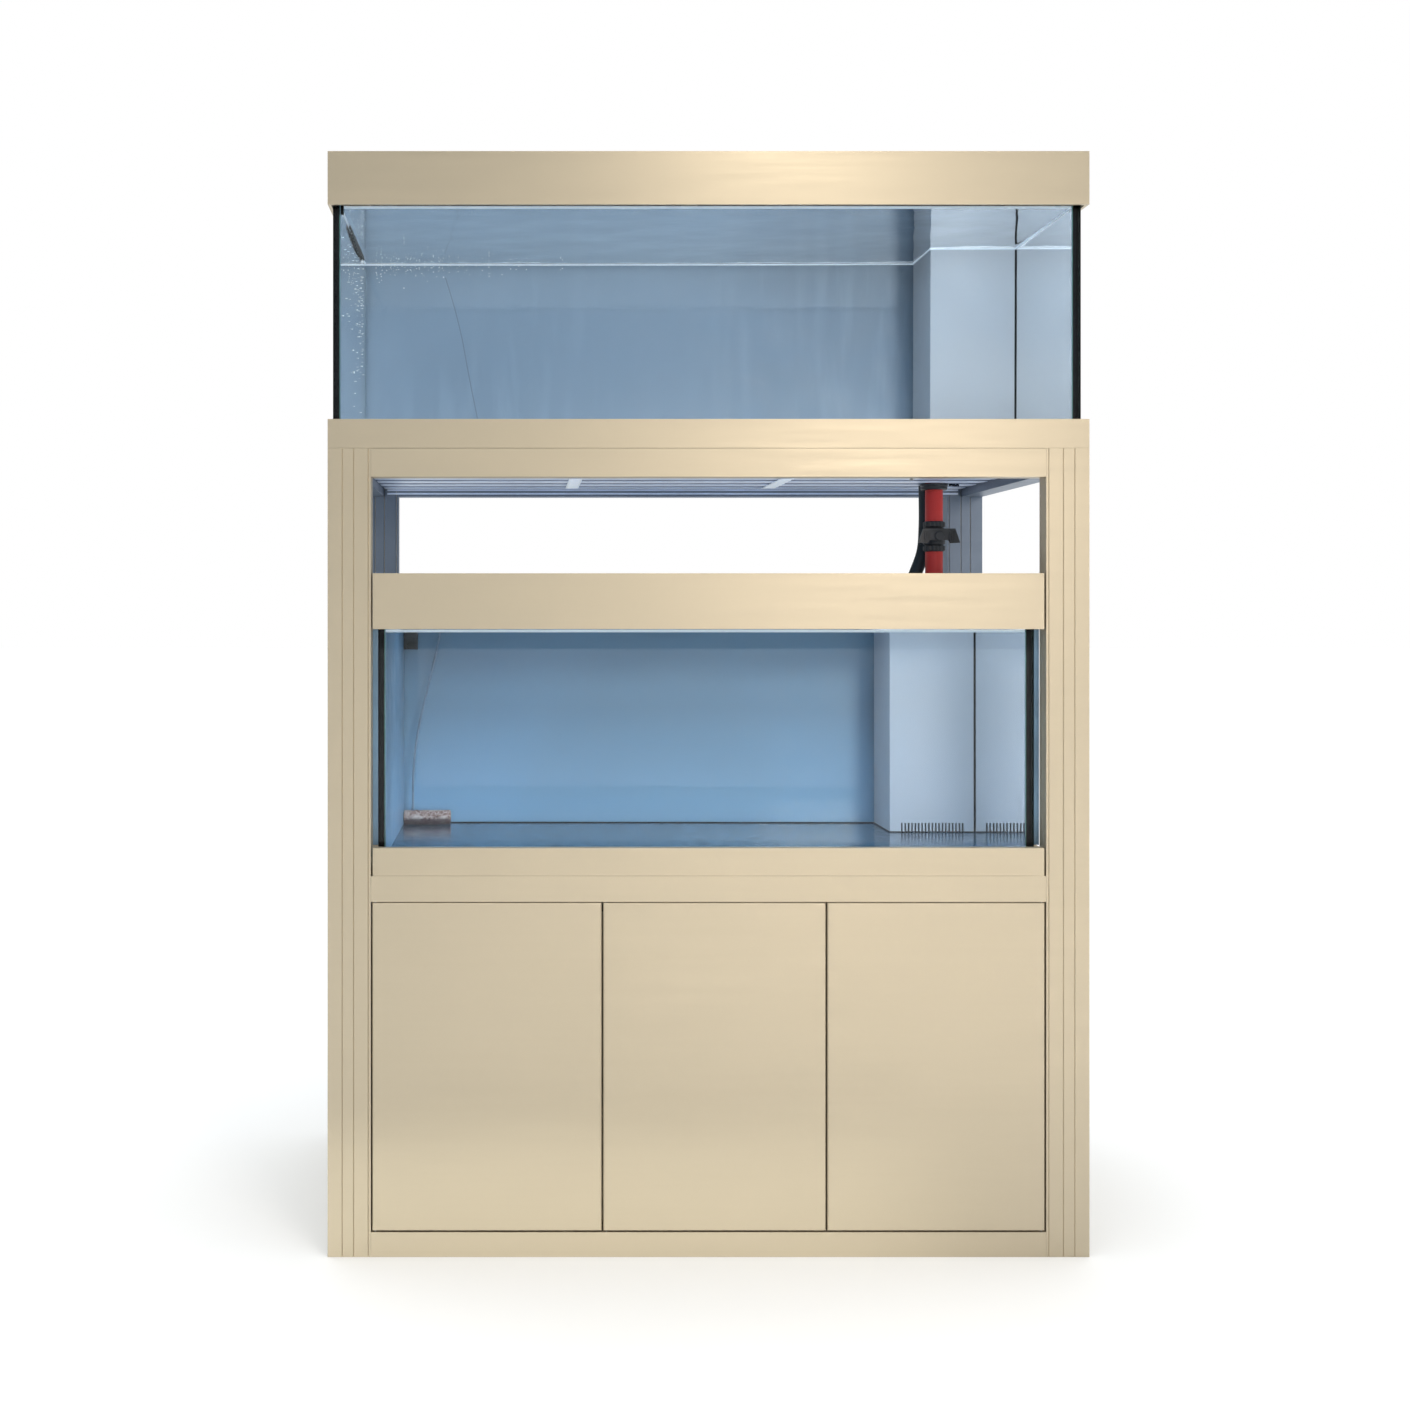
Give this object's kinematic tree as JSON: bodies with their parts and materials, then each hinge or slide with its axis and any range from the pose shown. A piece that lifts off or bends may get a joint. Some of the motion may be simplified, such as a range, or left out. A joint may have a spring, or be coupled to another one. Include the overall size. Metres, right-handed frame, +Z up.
{
  "type": "aquarium on stand",
  "caption": "Two-tier glass aquarium with hoods and corner overflow boxes, on a champagne aluminium stand with an open service bay and a flush three-door filter cabinet.",
  "frame": {"origin": "centre of the footprint, on the floor", "axes": "+Z up, +X to the viewer's right, -Y towards the viewer in front of the doors"},
  "size_m": [1.2, 0.56, 1.742],
  "materials": {
    "champagne_metal": "satin champagne powder coat on aluminium profile and sheet",
    "deck_aluminium": "mill-finish grooved aluminium planks",
    "board": "sealed plywood board",
    "steel": "bright zinc-plated steel",
    "tank_glass": "clear float glass with polished edges",
    "white_acrylic": "white acrylic sheet",
    "lid": "smoked acrylic sheet",
    "lamp": "satin anodised aluminium",
    "red_pvc": "red PVC pipe, semi-gloss",
    "black_plastic": "moulded black plastic",
    "black_rubber": "smooth black rubber hose",
    "mineral": "coarse sintered mineral, pinkish grey",
    "clear_tube": "translucent soft silicone tube"
  },
  "bodies": {
    "stand": {"post_front_left": "champagne_metal", "post_front_right": "champagne_metal", "post_back_left": "champagne_metal", "post_back_right": "champagne_metal", "top_rail_front": "champagne_metal", "top_rail_back": "champagne_metal", "top_rail_left": "champagne_metal", "top_rail_right": "champagne_metal", "mid_rail_front": "champagne_metal", "mid_rail_back": "champagne_metal", "bottom_rail_front": "champagne_metal", "bottom_rail_back": "champagne_metal", "side_panel_left": "champagne_metal", "side_panel_right": "champagne_metal", "back_panel": "champagne_metal", "divider": "champagne_metal", "upper_base_trim": "champagne_metal", "lower_base_trim": "champagne_metal", "upper_hood": "champagne_metal", "lower_hood": "champagne_metal", "upper_deck": "deck_aluminium", "lower_deck": "board", "cabinet_floor": "board", "hinge_rod_left": "steel", "hinge_rod_middle": "steel", "hinge_rod_right": "steel", "latch_rail": "black_plastic", "upper_tank_bottom": "tank_glass", "upper_tank_front": "tank_glass", "upper_tank_back": "tank_glass", "upper_tank_left": "tank_glass", "upper_tank_right": "tank_glass", "upper_overflow_box": "white_acrylic", "lamp_bar_upper": "lamp", "lower_tank_bottom": "tank_glass", "lower_tank_front": "tank_glass", "lower_tank_back": "tank_glass", "lower_tank_left": "tank_glass", "lower_tank_right": "tank_glass", "lower_overflow_box": "white_acrylic", "lamp_bar_lower": "lamp", "drain_pipe_upper": "red_pvc", "drain_pipe_lower": "red_pvc", "drain_valve": "black_plastic", "return_pump": "black_plastic", "return_nozzle": "black_plastic", "return_hose": "black_rubber", "sump": "tank_glass", "air_stone": "mineral", "air_line": "clear_tube"},
    "door_left": {"door_left": "champagne_metal"},
    "door_middle": {"door_middle": "champagne_metal"},
    "door_right": {"door_right": "champagne_metal"},
    "latch_plunger_left": {"latch_plunger_left": "steel"},
    "latch_plunger_middle": {"latch_plunger_middle": "steel"},
    "latch_plunger_right": {"latch_plunger_right": "steel"},
    "upper_lid_left": {"upper_lid_left": "lid"},
    "upper_lid_right": {"upper_lid_right": "lid"},
    "lower_lid": {"lower_lid": "lid"},
    "valve_handle": {"valve_handle": "black_plastic"}
  },
  "joints": [
    {"name": "door_left_hinge", "type": "hinge", "parent": "stand", "child": "door_left", "pos_m": [-0.5254, -0.2755, 0.2995], "axis": [0, 0, -1], "range_deg": [0, 100]},
    {"name": "door_middle_hinge", "type": "hinge", "parent": "stand", "child": "door_middle", "pos_m": [-0.1613, -0.2755, 0.2995], "axis": [0, 0, -1], "range_deg": [0, 100]},
    {"name": "door_right_hinge", "type": "hinge", "parent": "stand", "child": "door_right", "pos_m": [0.5254, -0.2755, 0.2995], "axis": [0, 0, 1], "range_deg": [0, 100]},
    {"name": "upper_lid_left_hinge", "type": "hinge", "parent": "stand", "child": "upper_lid_left", "pos_m": [-0.28075, 0.24, 1.742], "axis": [-1, 0, 0], "range_deg": [0, 95]},
    {"name": "upper_lid_right_hinge", "type": "hinge", "parent": "stand", "child": "upper_lid_right", "pos_m": [0.28075, 0.24, 1.742], "axis": [-1, 0, 0], "range_deg": [0, 95]},
    {"name": "lower_lid_hinge", "type": "hinge", "parent": "stand", "child": "lower_lid", "pos_m": [0, -0.016, 1.077], "axis": [-1, 0, 0], "range_deg": [0, 35]},
    {"name": "valve_turn", "type": "hinge", "parent": "stand", "child": "valve_handle", "pos_m": [0.475, 0.1077, 1.157], "axis": [0, -1, 0], "range_deg": [0, 90]},
    {"name": "latch_left_push", "type": "slide", "parent": "stand", "child": "latch_plunger_left", "axis": [0, 1, 0], "range_m": [0, 0.004], "stiffness_N_per_m": 400, "springref_m": -0.004},
    {"name": "latch_middle_push", "type": "slide", "parent": "stand", "child": "latch_plunger_middle", "axis": [0, 1, 0], "range_m": [0, 0.004], "stiffness_N_per_m": 400, "springref_m": -0.004},
    {"name": "latch_right_push", "type": "slide", "parent": "stand", "child": "latch_plunger_right", "axis": [0, 1, 0], "range_m": [0, 0.004], "stiffness_N_per_m": 400, "springref_m": -0.004}
  ]
}
